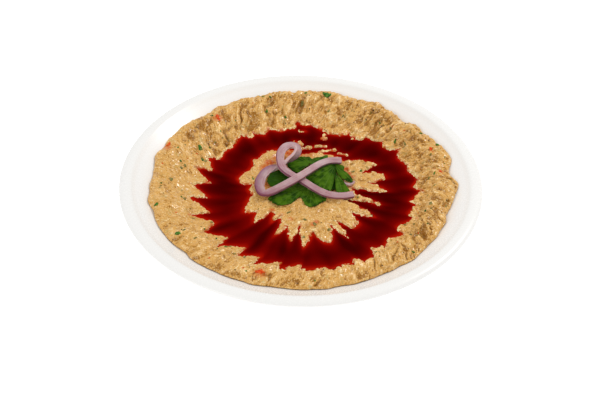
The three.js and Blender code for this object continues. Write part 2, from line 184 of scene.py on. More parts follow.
def finish(name, even, uneven):
    """A material from the even settings of its shader and a function that gives the uneven ones."""
    material = bpy.data.materials.new(name)
    material.use_nodes = True
    shader = material.node_tree.nodes["Principled BSDF"]
    for socket, value in even.items():
        shader.inputs[socket].default_value = value
    for socket, flow in uneven(Flow(material.node_tree)).items():
        material.node_tree.links.new(flow.socket, shader.inputs[socket])
    return material


def soften(profile, rounds):
    """Cuts the corners of a profile, which keeps its two ends."""
    for _ in range(rounds):
        near = 0.75 * profile[:-1] + 0.25 * profile[1:]
        far = 0.25 * profile[:-1] + 0.75 * profile[1:]
        between = np.stack([near, far], axis=1).reshape(-1, profile.shape[1])
        profile = np.concatenate([profile[:1], between[1:-1], profile[-1:]])
    return profile


bead_centre = np.array([plate_radius - bead_half[0], plate_height - bead_half[1]])
bead_turn = np.radians(np.linspace(*bead_angles, bead_steps))
bead = bead_centre + np.stack([np.cos(bead_turn), np.sin(bead_turn)], axis=1) * bead_half
wall_share = np.linspace(0, 1, wall_steps)[:, None]
wall = np.array([well_radius, well_top]) + np.hstack([wall_share, wall_share**wall_power]) * (
    bead[0] - (well_radius, well_top)
)
well = [(radius, well_top) for radius in (2, 20, 40, 60, 66)]
below = [*underside, *foot_ring, (40, recess_top), (2, recess_top)]
profile = soften(np.concatenate([well, wall, bead[1:], below]), 2)


def plate_top(radius):
    """Height of the plate's upper face at a radius."""
    return np.interp(radius, wall[:, 0], wall[:, 1])


def turned(profile, turns):
    """Rings of points from a profile of radius and height turned about the middle."""
    angle = np.linspace(0, 2 * np.pi, turns, endpoint=False)
    return [
        np.stack([radius * np.cos(angle), radius * np.sin(angle), np.full(turns, height)], axis=1)
        for radius, height in profile
    ]


def glaze(start):
    pool = start.mottle(14, detail=3)
    pits = start.mottle(0.9, detail=1)
    # Painted shade: the bead is darkened, and a line of shade is painted where the wall meets it.
    colour = start.mark("rim").blend((pool * 0.25).blend(glaze_white, glaze_cream), glaze_rim_shaded)
    return {
        "Base Color": (start.mark("join") * 0.25).blend(colour, glaze_join_shaded),
        "Roughness": 0.22 + pits * 0.1,
        "Normal": (pool + pits * 0.01).relief(0.2, 0.12),
    }


points, faces = rings_skin(turned(profile, plate_turns), [(0, 0, well_top), (0, 0, recess_top)])
outwards = np.hypot(points[:, 0], points[:, 1])
marks = {
    "rim": np.clip(outwards - bead_join, 0, 1),
    "join": np.exp(-(((outwards - bead_join) / join_half) ** 2)),
}
white_glaze = finish("white_glaze", {"Specular IOR Level": 0.3, "Coat Weight": 0.08}, glaze)
mould("plate_glazed", points, faces, marks, white_glaze, "plate", "glaze")

# ------------------------
# Dip. Roasted aubergine mashed with sesame paste: moist and grainy. It is heaped on the plate,
# pressed down with the back of a spoon into a ring-shaped channel and wiped up into a bank.
ring_centre = np.array([3.5, -1.0])
gap = 0.05
sauce_level = 12.0
mound_height = 2.1
mound_radii = (14, 44)
edge_radius = 96.4
edge_back = 1.5
crest_height = 21.4
crest_tilt = (0.5, 1.3)
bank_width = 9.5
bank_narrowing = 3.5
slope_start = 68.5
slope_hollow = 0.35
surface_drop = 0.3
edge_waves = ((9, 0.5, 20), (17, 0.6, 63), (29, 0.45, 230), (41, 0.3, 115))
crest_waves = ((7, 0.35, 80), (13, 0.4, 10), (23, 0.45, 200), (37, 0.3, 300))
edge_marks = ((1, 3.6, 4), (21, 4.4, 9), (62, 3.4, 4), (92, 1.4, 14), (150, 1, 14), (213, 1, 3))

# The shore of the sauce as the angle and radius of each tooth of dip and spike of sauce in turn.
outer_shore = (
    (3, 74), (7, 68.6), (12, 73.1), (15.3, 73.7), (19.1, 70.3), (25.2, 72.8), (31.6, 70.3), (38.1, 77.4),
    (40, 72), (44.2, 70.8), (48, 74.7), (52.4, 71.2), (57, 72.8), (60, 66.3), (66.2, 69.2), (70, 65.1),
    (77, 64.5), (88, 73), (91, 71), (95.5, 75.5), (97, 68.4), (101.2, 69.1), (105.8, 66.7), (111.5, 72.4),
    (116, 66.5), (120.4, 72.4), (123.4, 67.4), (127, 74), (137, 67.8), (143.7, 68.6), (150, 65.7),
    (152, 73.2), (161, 65.4), (162.1, 77.4), (172.4, 62.6), (175.1, 74.3), (186.2, 62.4), (185, 75.2),
    (199.2, 63.7), (198.7, 76.4), (209, 63.7), (212.9, 75.4), (223, 65.2), (224.8, 74.2), (236.3, 64),
    (236, 73.5), (247, 66.4), (244.8, 75.7), (257.9, 68), (257.5, 74.7), (268.4, 67.5), (268, 72.3),
    (280, 70.8), (282.6, 73.1), (289, 70.8), (294, 71.8), (295.5, 67.4), (299.1, 72.8), (305.6, 71.7),
    (308.5, 65.6), (312.9, 70.8), (320.3, 66.7), (327, 71.3), (331.1, 64.8), (341.5, 72.3), (343.5, 67),
    (351.9, 70.6), (354.6, 66),
)
inner_shore = (
    (3, 52.1), (15.8, 41.4), (16.7, 52.9), (22.8, 54.1), (31, 42), (34, 52), (33, 55.1), (46.3, 48.7),
    (54, 41), (66, 43.1), (80, 41.7), (89.5, 40.6), (95.2, 39.5), (104, 46), (114, 49.1), (127, 49.4),
    (131.4, 46.5), (137, 48.7), (143.4, 43.7), (153.2, 43.5), (164, 46.2), (170.1, 40.8), (168, 34.6),
    (176, 37), (185, 34), (199.4, 39.4), (207, 43.3), (213.5, 36.5), (223, 43.5), (224, 37), (222, 29),
    (226, 28.6), (235, 36.5), (236.4, 28), (242.3, 33), (245, 46), (251.5, 34.5), (259.1, 47),
    (263.3, 29.4), (268.5, 53), (277.1, 37.5), (283, 47.9), (288.7, 49.8), (296.8, 34.5), (301.7, 50.1),
    (306, 33.4), (311.4, 44.3), (320, 43.8), (326, 32.1), (332.6, 49.1), (341.6, 31.7), (346, 21.5),
    (349.5, 39.5), (348.3, 48.6), (358, 30.9), (371, 28.6), (363, 44),
)
tooth_bluntness = 0.5
shore_shift = 0.35
shore_crumbs = ((3.1, 0.7), (1.5, 0.75), (0.9, 0.5))
# Strips of dip that stand out of the sauce, each with two ends, as angle and radius, and half
# its width.
islands = (
    ((57, 48), (63.5, 46.5), 0.8), ((68, 49.2), (76, 45.7), 0.75), ((76, 45.7), (81, 43.6), 0.5),
    ((76.5, 50.6), (83, 49.4), 1.1), ((83, 49), (88, 47.6), 0.7), ((88, 47.6), (97, 45.5), 0.8),
    ((94.6, 53.4), (99.6, 55.2), 0.4), ((94.5, 50.3), (97.4, 51), 0.5), ((91.2, 65.4), (94.8, 65.9), 0.75),
    ((79.8, 63.5), (79.9, 59.2), 0.6), ((80, 58.6), (78.8, 58.8), 1.2), ((57.8, 68.2), (62.2, 65.9), 0.9),
    ((348.5, 47), (352, 38), 1.1), ((161.5, 38.5), (166, 43), 0.8),
)
# Places where a little sauce has run over the dip or a shred of pepper has stained it: angle,
# radius, half width, strength.
stains = (
    (129, 38, 4.2, 1), (138, 35.6, 4.5, 0.9), (120, 41, 3, 0.7), (107, 42, 3, 1), (111, 37.5, 2.6, 1),
    (104, 44.5, 2, 1), (164, 26, 3.5, 0.7), (44, 35.2, 2.4, 1), (36, 34.1, 1.8, 1), (29, 34.1, 1.8, 1),
    (10, 29.8, 1.8, 0.9), (220.5, 28, 2, 0.8), (225, 30.5, 1.6, 1), (279, 31, 2, 0.9), (283, 29, 1.6, 0.8),
    (95, 42, 5, 0.7), (88, 40, 4, 0.5), (60, 40, 4, 0.5), (236, 27, 2, 0.5), (250, 28, 2, 0.5),
    (128.3, 97.3, 3.4, 0.7), (154.5, 101.5, 3, 0.7), (250.8, 79.5, 4, 0.6), (15.4, 89.1, 2, 0.7),
)
lip_height = 0.6
lip_crown = 0.6
wet_depth = 1.7
lump_count = 6
lump_height = 0.45
lump_lengths = (9.1, 16.9)
stroke_depth = 0.2
lump_rise = 1.1
crease_depth = 1.6
crease_width = 0.1
bank_lump_rise = 0.95
fold_depth = 1.4
crumb_rise = 0.5
grain = ((0.95, 0.15), (1.7, 0.32), (3.2, 0.52), (6.0, 0.4))
crumb_size = 2.1
pit_size = 2.8
dip_mid = (0.69, 0.376, 0.098, 1)
dip_light = (0.99, 0.69, 0.33, 1)
dip_dark = (0.36, 0.15, 0.015, 1)
# Cream, partly the paste's own pale crumbs and partly painted highlight.
dip_cream_and_highlight = (1.0, 0.84, 0.45, 1)
dip_green = (0.32, 0.27, 0.07, 1)
dip_stained = (0.56, 0.09, 0.001, 1)


def clumps(points, size, seed):
    """Smooth random values from -1 to 1 at points, in clumps of a size in millimetres."""
    random = np.random.default_rng(seed)
    table = random.uniform(-1, 1, (32, 32, 32))
    turn = np.linalg.qr(random.normal(size=(3, 3)))[0]
    spot = points @ turn / size
    cell = np.floor(spot).astype(int)
    part = spot - cell
    part = part * part * (3 - 2 * part)
    total = np.zeros(len(points))
    for corner in itertools.product((0, 1), repeat=3):
        weight = np.prod(np.where(corner, part, 1 - part), axis=1)
        i, j, k = ((cell + corner) % 32).T
        total += weight * table[i, j, k]
    return total


def ease(value, low, high):
    """Goes smoothly from 0 at low to 1 at high."""
    share = np.clip((value - low) / (high - low), 0, 1)
    return share * share * (3 - 2 * share)


def ring_waves(waves, degrees):
    """Sum of waves round the ring, each with its number of turns, height and phase."""
    return sum(height * np.cos(np.radians(turns * degrees + phase)) for turns, height, phase in waves)


def edge_at(degrees):
    """Radius of the dip's outer edge, about the middle of the ring."""
    across, along = np.cos(np.radians(degrees)), np.sin(np.radians(degrees))
    edge = edge_radius - ring_centre[0] * across - ring_centre[1] * along
    edge = edge + edge_back * along + ring_waves(edge_waves, degrees)
    for angle, out, half_width in edge_marks:
        away = np.mod(degrees - angle + 180, 360) - 180
        edge += out * np.exp(-((away / half_width) ** 2))
    return edge


def crest_at(degrees):
    """Radius and height of the bank's crest."""
    across, along = np.cos(np.radians(degrees)), np.sin(np.radians(degrees))
    height = crest_height + crest_tilt[0] * across + crest_tilt[1] * along
    radius = edge_at(degrees) - bank_width + bank_narrowing * along
    return radius, height + ring_waves(crest_waves, degrees)


def on_plan(degrees, radius):
    """Places on the plan at an angle and a radius about the middle of the ring."""
    angle = np.radians(degrees)
    return ring_centre + np.stack([radius * np.cos(angle), radius * np.sin(angle)], axis=-1)


def from_centre(plan):
    """Angle in degrees and radius of places on the plan."""
    across, along = (plan - ring_centre).T
    return np.degrees(np.arctan2(along, across)), np.hypot(across, along)


# Seeded draws for the broad lumps, each worked out from the one before it.
draw_factor, draw_offset, draw_span = 1664525, 1013904223, 2**32
state = 7
draws = []
for _ in range(3 * lump_count):
    state = (state * draw_factor + draw_offset) % draw_span
    draws.append(state / draw_span)


def lumps_at(plan):
    """Broad lumps of the spread dip."""
    total = 0
    for turn, pace, phase in zip(draws[0::3], draws[1::3], draws[2::3]):
        pace = 2 * np.pi / (lump_lengths[0] + (lump_lengths[1] - lump_lengths[0]) * pace)
        along = plan[:, 0] * math.cos(2 * np.pi * turn) + plan[:, 1] * math.sin(2 * np.pi * turn)
        total = total + np.sin(pace * along + 2 * np.pi * phase)
    return lump_height * total / math.sqrt(lump_count)


def spread_height(degrees, radius):
    """Height of the smooth spread dip, before its shore and its grain."""
    crest, top = crest_at(degrees)
    edge = edge_at(degrees)
    mound = mound_height * (1 - ease(radius, *mound_radii))
    up = np.clip((radius - slope_start) / (crest - slope_start), 0, 1)
    rise = slope_hollow * up * up + (1 - slope_hollow) * ease(up, 0, 1)
    rough = lumps_at(on_plan(degrees, radius)) * np.sin(np.pi * up)
    inside = sauce_level - surface_drop + mound + (top - sauce_level) * rise + rough
    out = np.clip((radius - crest) / (edge - crest), 0, 1)
    foot = plate_top(np.linalg.norm(on_plan(degrees, edge), axis=-1)) + gap
    outside = foot + (top - surface_drop - foot) * np.sqrt(1 - out * out)
    return np.where(radius < crest, inside, outside)


# The shore is laid out as a diner sees it from 40 degrees up: what lies higher on the slope is met
# nearer the diner, by this much for each millimetre of height.
sight_slope = 1.186


def shore_points(table, teeth_point_in):
    """Points along a shore, close together, as angle and radius. The teeth of dip are blunt and
    the spikes of sauce run out thin."""
    corners = np.array(table, float)
    corners = np.vstack([corners, [corners[0, 0] + 360, corners[0, 1]]])
    degrees, radius = [], []
    for (a0, r0), (a1, r1) in zip(corners[:-1], corners[1:]):
        steps = int(math.hypot(r1 - r0, math.radians(a1 - a0) * r0) / 0.2) + 1
        share = np.arange(steps) / steps
        turn = share * math.pi / 2
        blunt = np.sin(turn) if (r0 < r1) == teeth_point_in else 1 - np.cos(turn)
        degrees.append(a0 + (share + tooth_bluntness * (blunt - share)) * (a1 - a0))
        radius.append(r0 + share * (r1 - r0))
    return np.concatenate(degrees), np.concatenate(radius)


def tree_of(points):
    """Tree that finds the nearest of the points."""
    tree = KDTree(len(points))
    for i, point in enumerate(points):
        tree.insert((point[0], point[1], 0), i)
    tree.balance()
    return tree


def nearest(tree, points):
    """Distance from each point to the nearest one in the tree."""
    return np.array([tree.find((x, y, 0))[2] for x, y in points])


def shore_crossings(shores, count):
    """For directions evenly round the ring, the radii at which a line outwards meets a shore."""
    met = [[] for _ in range(count)]
    for degrees, radius in shores:
        after = np.r_[degrees[1:], degrees[0] + 360]
        after_radius = np.roll(radius, -1)
        for a0, a1, r0, r1 in zip(degrees, after, radius, after_radius):
            low, high = sorted((a0 * count / 360 - 0.5, a1 * count / 360 - 0.5))
            for i in range(math.ceil(low), math.ceil(high)):
                met[i % count].append(r0 + (r1 - r0) * ((i + 0.5) * 360 / count - a0) / (a1 - a0))
    table = np.zeros((count, max(len(radii) for radii in met)))
    for row, radii in zip(table, met):
        row[: len(radii)] = radii
    return table


shores = [shore_points(outer_shore, True), shore_points(inner_shore, False)]
shore_tree = tree_of(np.concatenate([on_plan(*shore) for shore in shores]))
shore_reach = (14, 92)
far_from_shore = 15.0
crossings = shore_crossings(shores, 3600)
# In the second tree a step outwards counts less than a step round the ring, so that it gives
# how deep the sauce is beside a tooth and off its tip, where the tooth runs on below the sauce.
tip_stretch = 0.3
round_stretch = 75
stretched = np.concatenate([
    np.stack([np.radians(degrees + turn) * round_stretch, radius * tip_stretch], axis=1)
    for degrees, radius in shores for turn in (-360, 0, 360)
])
depth_tree = tree_of(stretched)


def strip_distance(plan, strip):
    """Distance from the edge of a strip of dip, above 0 within it."""
    (a0, r0), (a1, r1), half = strip
    start, end = on_plan(a0, r0), on_plan(a1, r1)
    way = end - start
    share = np.clip((plan - start) @ way / max(way @ way, 1e-6), 0, 1)
    return half - np.linalg.norm(plan - start - share[:, None] * way, axis=1)


def shore_distance(degrees, radius, height):
    """Distance from the shore, above 0 on the dip and below 0 in the sauce."""
    seen = on_plan(degrees, radius)
    seen[:, 1] += sight_slope * (height - sauce_level)
    seen_degrees, seen_radius = from_centre(seen)
    away = np.full(len(seen), far_from_shore)
    close = (seen_radius > shore_reach[0]) & (seen_radius < shore_reach[1])
    away[close] = nearest(shore_tree, seen[close])
    direction = (np.mod(seen_degrees, 360) * len(crossings) / 360).astype(int) % len(crossings)
    wet = (crossings[direction] > seen_radius[:, None]).sum(axis=1) % 2 == 1
    away = np.where(wet, -away, away) - shore_shift
    for strip in islands:
        away = np.maximum(away, strip_distance(seen, strip))
    solid = np.column_stack([seen, height])
    for seed, (size, reach) in enumerate(shore_crumbs):
        away += reach * clumps(solid, size, 21 + seed)
    return away, seen


def dip_surface(degrees, radius):
    """Points of the dip's surface, with its distance from the shore, its relief and stains."""
    height = spread_height(degrees, radius)
    away, seen = shore_distance(degrees, radius, height)
    inland = np.maximum(away, 0)
    lip = lip_height * (1 - np.exp(-inland / 0.3))
    lip += lip_crown * (1 - np.exp(-inland / 0.4)) * np.exp(-inland / 2.5)
    shore = np.where(away > 0, lip, -wet_depth * (1 - np.exp(np.minimum(away, 0) / 0.9)))
    points = np.column_stack([on_plan(degrees, radius), height + shore])
    angle = np.radians(degrees)
    crest, _ = crest_at(degrees)
    swirl = angle + 0.006 * (radius - 70)
    round_way = np.column_stack([np.cos(swirl) * 85, np.sin(swirl) * 85, radius])
    slope = ease(radius, 64, 72) * (1 - ease(radius, crest - 3, crest + 2))
    behind = ease(np.sin(angle + 0.2), -0.1, 0.5)
    before = ease(-np.sin(angle - 0.3), -0.1, 0.6)
    # The spoon leaves fine strokes up the slope; behind the ring the dip also creases and lumps.
    strokes = clumps(round_way * (1, 1, 0.2), 1.5, 31) + 0.7 * clumps(round_way * (1, 1, 0.25), 2.8, 32)
    bent = round_way + 2.2 * np.column_stack([clumps(points, 5.5, seed) for seed in (53, 54, 55)])
    patchy = ease(clumps(points, 11, 56), -0.35, 0.35)
    creases = patchy * np.exp(-((clumps(bent * (1, 1, 0.35), 6.5, 33) / crease_width) ** 2))
    creases += 0.6 * np.exp(-((clumps(bent * (1, 1, 0.6), 4.2, 34) / crease_width) ** 2))
    lumps = clumps(bent * (1, 1, 0.5), 5.0, 36) + 0.6 * clumps(bent * (1, 1, 0.7), 3.0, 37)
    folds = np.exp(-((clumps(bent * (1, 1, 0.6), 7.0, 35) / crease_width) ** 2))
    bank = ease(radius, crest - 7, crest - 1)
    dry = ease(away, 0, 4)
    relief = stroke_depth * slope * strokes
    relief += slope * behind * (lump_rise * lumps - crease_depth * creases)
    relief += bank * (bank_lump_rise * lumps - fold_depth * folds) * (0.4 + 0.6 * before)
    # Pits, crumbs and grain are coarser at the back right and in front.
    rough = 0.65 + 0.6 * ease(np.cos(angle - 0.5), -0.7, 0.5) + 0.25 * before
    relief = (relief - (rough - 0.35) * ease(clumps(points, pit_size, 49), 0.3, 0.7)) * dry
    relief += crumb_rise * rough * ease(clumps(points, crumb_size, 48), 0.2, 0.65)
    for seed, (size, depth) in enumerate(grain):
        relief += depth * rough * clumps(points, size, 40 + seed)
    edge = edge_at(degrees)
    relief *= 0.3 + 0.7 * ease(away, -0.9, 0.2)
    relief *= 1 - 0.8 * ease(radius, edge - 1.5, edge)
    relief *= 0.75 + 0.25 * ease(radius, 24, 34)
    stain = np.exp(-((inland / 0.8) ** 2)) * ease(clumps(points, 2.5, 51), 0.0, 0.5)
    for place, out, half_width, strength in stains:
        far = np.linalg.norm(seen - on_plan(place, out), axis=1) / half_width
        stain = np.maximum(stain, strength * np.exp(-far**4) * ease(clumps(points, 1.6, 52), -1.2, -0.1))
    return points, relief, away, stain, round_way


def dip_rings(radii, degrees, floor):
    """Rings of a dip piece out over its surface and back below it, with its marks."""
    across = np.tile(degrees, len(radii))
    radius = np.concatenate(radii)
    points, relief, away, stain, round_way = dip_surface(across, radius)
    surface = points.reshape(len(radii), -1, 3)
    along = np.gradient(surface, axis=0)
    beside = np.roll(surface, -1, axis=1) - np.roll(surface, 1, axis=1)
    normal = np.cross(along, beside)
    normal *= np.sign(normal[..., 2:3] + 1e-9)
    normal /= np.linalg.norm(normal, axis=2, keepdims=True) + 1e-9
    low = plate_top(np.linalg.norm(surface[..., :2], axis=2)) + gap
    surface = surface + normal * relief.reshape(len(radii), -1, 1)
    surface[..., 2] = np.maximum(surface[..., 2], low)
    under = []
    for ring in floor:
        plan = on_plan(degrees, ring)
        under.append(np.column_stack([plan, plate_top(np.linalg.norm(plan, axis=1)) + gap]))
    none = np.zeros(len(degrees) * len(floor))
    marks = {"relief": (relief, 0), "shore": (away, far_from_shore), "stain": (stain, 0)}
    marks |= {name: (way, 0) for name, way in zip(("way_x", "way_y", "way_out"), round_way.T)}
    marks = {name: np.concatenate([values, none + rest]) for name, (values, rest) in marks.items()}
    return [*surface, *under], marks


def dip_finish(start):
    relief, shore, stain = (start.mark(name) for name in ("relief", "shore", "stain"))
    way_x, way_y, way_out = (start.mark(name) for name in ("way_x", "way_y", "way_out"))
    way = start.node("CombineXYZ", {}, {"X": way_x * 0.001, "Y": way_y * 0.001, "Z": way_out * 0.00035})
    grains = start.mottle(0.9, detail=2, roughness=0.6)
    fibres = start.mottle(1.1, detail=3, place=way, roughness=0.6)
    curls = start.mottle(2.6, detail=3, roughness=0.6)
    patch = start.mottle(7, detail=2)
    # The tone mixes random grain with the relief, so creases and pits get painted shade and lumps and
    # crumbs get painted light.
    tone = (grains - 0.5) * 1.6 + (fibres - 0.5) * 2.2 + (patch - 0.5) * 0.5 + relief * 0.36 + 0.48
    dark = tone.ease(0.4, -0.1)
    light = tone.ease(0.6, 1.2) * 0.9
    middle = curls - 0.5
    # Thin cream curls: partly pale crumbs of paste, partly painted highlight.
    curl = middle.math("ABSOLUTE", middle).ease(0.03, 0.008) * grains.ease(0.5, 0.62) * 0.7
    herb = patch.ease(0.55, 0.63) * fibres.ease(0.52, 0.62) * 0.5
    # A painted highlight runs along the shore, on the edges of the crumbs that stand above the sauce.
    near = shore.ease(1.2, 0.1) * grains.ease(0.44, 0.54) * 0.9
    colour = dark.blend(dip_mid, dip_dark)
    over = (dip_light, dip_cream_and_highlight, dip_green, dip_cream_and_highlight, dip_stained)
    for share, tone in zip((light, curl, herb, near, stain), over):
        colour = share.blend(colour, tone)
    wet = start.mottle(1.8, detail=1)
    return {
        "Base Color": colour,
        "Roughness": 0.65 - wet.ease(0.5, 0.7) * 0.2,
        "Coat Weight": wet.ease(0.48, 0.58) * 0.9,
        "Normal": (grains * 0.5 + fibres * 0.5 + curls * 1.2).relief(0.85, 0.85),
    }


moist_dip = finish("moist_dip", {"Specular IOR Level": 0.2, "Coat Roughness": 0.2}, dip_finish)

# The dip is skinned as its mound and its bank, which meet below the sauce.
split_radius = 60.0
split_gap = 0.05
mound_columns, mound_rows = 640, 118
mound_turns = np.linspace(0, 360, mound_columns, endpoint=False)
mound_reaches = np.linspace(0.8, split_radius - split_gap, mound_rows)
mound_rings = [np.full(mound_columns, radius) for radius in mound_reaches]
rings, marks = dip_rings(mound_rings, mound_turns, (split_radius - split_gap, 40, 20, 1))
poles = [rings[0].mean(axis=0), [*ring_centre, well_top + gap]]
marks = {name: np.r_[values, values[0], values[-1]] for name, values in marks.items()}
mould("dip_mound", *rings_skin(rings, poles), marks, moist_dip, "dip", "dip")

bank_columns, slope_rows, wall_rows = 1080, 56, 27
bank_turns = np.linspace(0, 360, bank_columns, endpoint=False)
crest, _ = crest_at(bank_turns)
edge = edge_at(bank_turns)
slope_shares = np.linspace(0, 1, slope_rows)
wall_shares = [*np.sin(np.linspace(0, np.pi / 2, wall_rows))[1:-1], 0.99995, 1]
bank_rings = [split_radius + split_gap + share * (crest - split_radius) for share in slope_shares]
bank_rings += [crest + share * (edge - crest) for share in wall_shares]
floor = (edge - 1.5, edge - 8, edge - 20, np.full(bank_columns, split_radius + split_gap))
rings, marks = dip_rings(bank_rings, bank_turns, floor)
mould("dip_bank", *rings_skin(rings), marks, moist_dip, "dip", "dip")

# ------------------------
# Sauce. Thick dark red pepper and pomegranate sauce, poured into the channel and drawn out with
# a knife point into spikes. It is nearly black where it is deep and bright red where it thins.
# Its colours from the thinnest film to the deepest pool, each with its share of the depth.
sauce_tones = (
    (0.0, (0.50, 0.025, 0.002, 1)), (0.2, (0.34, 0.005, 0.001, 1)), (0.45, (0.17, 0.001, 0.0005, 1)),
    (0.78, (0.095, 0.0003, 0.0002, 1)), (1.0, (0.05, 0.0002, 0.0002, 1)),
)
sauce_columns, sauce_rows = 900, 96
sauce_span = (20, 80)
sauce_body = 1.5
sauce_swell = 0.1
# How far the sauce falls below the dip, over which distances in from its shore.
shore_falls = ((0.9, 0, 0.9), (2.5, 0.8, 4))
shore_film = 0.15
# How deep the sauce is before it looks dark, how much that changes round the ring and where it is most.
dark_depth, dark_change, dark_side = 1.5, 0.4, 235
streak_size = 5


def sauce_finish(start):
    depth = start.mark("depth")
    streak = start.mark("streak")
    shade = depth + (streak - 0.5) * depth.ease(0.15, 0.75) * 0.45
    ripple = start.mottle(3, detail=2)
    return {
        "Base Color": shade.node("ValToRGB", {"stops": sauce_tones}, {"Fac": shade}),
        "Roughness": 0.35 + ripple * 0.2,
        "Normal": ripple.relief(0.2, 0.2),
    }


degrees = np.tile(np.linspace(0, 360, sauce_columns, endpoint=False), sauce_rows)
radius = np.repeat(np.linspace(*sauce_span, sauce_rows), sauce_columns)
height = spread_height(degrees, radius)
away, seen = shore_distance(degrees, radius, height)
# The sauce lies level in the channel and passes below the dip at its shore.
top = height + sauce_swell * ease(-away, 0, 3) - sauce_swell
for fall, low, high in shore_falls:
    top -= fall * ease(away, low, high)
seen_degrees, seen_radius = from_centre(seen)
seen_turn = np.radians(np.mod(seen_degrees, 360)) * round_stretch
depth = nearest(depth_tree, np.stack([seen_turn, seen_radius * tip_stretch], axis=1)) * (away < 0)
for strip in islands:
    depth = np.minimum(depth, np.maximum(-strip_distance(seen, strip), 0) * 0.6)
# The depth sets the colour, so it is evened out a little over the rings.
blurred = depth.reshape(sauce_rows, -1)
for step in (1, 2, 4):
    blurred = (np.roll(blurred, step, 1) + blurred + np.roll(blurred, -step, 1)) / 3
    blurred = (np.roll(blurred, step // 2, 0) + blurred + np.roll(blurred, -(step // 2), 0)) / 3
thinness = dark_depth + dark_change * np.cos(np.radians(degrees - dark_side))
depth = 1 - np.exp(-np.maximum(0.4 * depth + 0.6 * blurred.ravel(), shore_film) / thinness)
angle = np.radians(degrees)
pulled = np.column_stack([np.cos(angle) * 60, np.sin(angle) * 60, radius * 0.2])
streak = clumps(pulled, streak_size, 61)
surface = np.column_stack([on_plan(degrees, radius), top]).reshape(sauce_rows, -1, 3)
under = [*(surface[::-8] - (0, 0, sauce_body)), surface[0] - (0, 0, sauce_body)]
rest = np.zeros(len(under) * sauce_columns)
marks = {"depth": np.r_[depth, rest], "streak": np.r_[streak * 0.5 + 0.5, rest]}
red_sauce = finish("red_sauce", {"Specular IOR Level": 0.0}, sauce_finish)
mould("sauce_pool", *rings_skin([*surface, *under]), marks, red_sauce, "sauce", "sauce")

# ------------------------
# Flecks. Bits of parsley, red pepper and charred aubergine skin, chopped and stirred into the
# dip. The larger ones stand out of its surface and the small ones are pressed flat into it.
herb_flecks = (
    (16.3, 91.7, 6.4, 4.4, 150), (-30.9, 92.5, 3.6, 1.8, 160), (-67.4, 38.8, 5.6, 2.4, 120),
    (-65, 29.8, 3, 2, 110), (-89.5, -25.3, 3.4, 2.4, 10), (-73.8, -51.9, 4.6, 2.6, 170),
    (61.9, 50.6, 3.6, 1.6, 70), (78.8, 50.4, 3, 2, 140), (89, 39, 3, 2, 160),
    (95.5, 5.2, 3, 2, 120), (68.4, -62.7, 2.2, 1.6, 0), (-27.5, 89.3, 2.8, 1.6, 30),
)
pepper_flecks = (
    (-56.8, 64.9, 5.4, 3, 110), (-87.5, 36, 4.6, 3, 50), (84.1, 34.1, 3, 2.2, 120),
    (89.4, 12.2, 3.4, 1.8, 100), (-22.7, -84.6, 7, 2.6, 170),
)
herb_green = ((0.02, 0.08, 0.008, 1), (0.11, 0.25, 0.03, 1))
pepper_red = ((0.60, 0.03, 0.004, 1), (0.75, 0.16, 0.02, 1))
char_black = ((0.012, 0.012, 0.006, 1), (0.05, 0.045, 0.02, 1))
herb_olive = ((0.14, 0.13, 0.03, 1), (0.34, 0.28, 0.09, 1))
fleck_corners = 10
fleck_thickest = 0.8
fleck_rise = 0.15
fleck_reach = (8, 95)
fleck_clear = (0.8, 2)


def fleck_finish(tones):
    """Finish of one kind of fleck, uneven between its two tones."""
    def uneven(start):
        tone = start.mottle(1.2, detail=2)
        return {
            "Base Color": tone.ease(0.35, 0.7).blend(*tones),
            "Roughness": 0.4 + tone * 0.3,
            "Normal": tone.relief(0.5, 0.2),
        }
    return uneven


def surface_height(places):
    """Height of the finished dip at places on the plan."""
    degrees, radius = from_centre(places)
    points, relief, *_ = dip_surface(degrees, radius)
    return points[:, 2] + relief


def chopped(name, flecks, tones, seed):
    """One piece of many flecks, each a thin chip with an uneven outline that follows the dip."""
    random = np.random.default_rng(seed)
    even = np.linspace(0, 2 * np.pi, fleck_corners, endpoint=False)
    points, faces = [], []
    for x, y, length, width, turn in flecks:
        angle = even + random.uniform(-0.2, 0.2, fleck_corners)
        reach = random.uniform(0.6, 1.2, fleck_corners)
        flat = np.stack([np.cos(angle) * reach * length / 2, np.sin(angle) * reach * width / 2], axis=1)
        spin = math.radians(turn)
        flat = flat @ np.array([[math.cos(spin), math.sin(spin)], [-math.sin(spin), math.cos(spin)]])
        thick = min(fleck_thickest, 0.4 * width)
        rings = [
            np.column_stack([flat * share + (x, y), np.full(fleck_corners, thick * level + fleck_rise)])
            for share, level in ((0.5, 0.5), (0.95, 0.3), (1, -0.1), (0.9, -0.5))
        ]
        poles = [(x, y, thick * 0.55 + fleck_rise), (x, y, fleck_rise - thick * 0.5)]
        chip, skin = rings_skin(rings, poles)
        faces += [[len(points) + i for i in face] for face in skin]
        points += chip.tolist()
    points = np.array(points)
    points[:, 2] += surface_height(points[:, :2])
    material = finish(name + "_finish", {"Specular IOR Level": 0.12}, fleck_finish(tones))
    mould(name, points, faces, {}, material, "dip", "dip")


def strewn(count, sizes, seed):
    """Small flecks strewn over the dip that shows, clear of the sauce."""
    random = np.random.default_rng(seed)
    tries = 400
    found = []
    while len(found) < count:
        degrees = random.uniform(0, 360, tries)
        radius = np.sqrt(random.uniform(fleck_reach[0] ** 2, fleck_reach[1] ** 2, tries))
        height = spread_height(degrees, radius)
        away, _ = shore_distance(degrees, radius, height)
        open_dip = (away > fleck_clear[0]) & (radius < edge_at(degrees) - fleck_clear[1])
        for place in on_plan(degrees[open_dip], radius[open_dip]):
            length = random.uniform(*sizes)
            found.append((*place, length, length * random.uniform(0.4, 0.8), random.uniform(0, 180)))
    return found[:count]


chopped("herb_flecks", (*herb_flecks, *strewn(50, (0.8, 2.3), 71)), herb_green, 81)
chopped("pepper_flecks", (*pepper_flecks, *strewn(26, (0.7, 1.8), 72)), pepper_red, 82)
chopped("char_flecks", strewn(130, (0.5, 1.1), 73), char_black, 83)
chopped("olive_flecks", strewn(60, (1.2, 3.2), 74), herb_olive, 84)

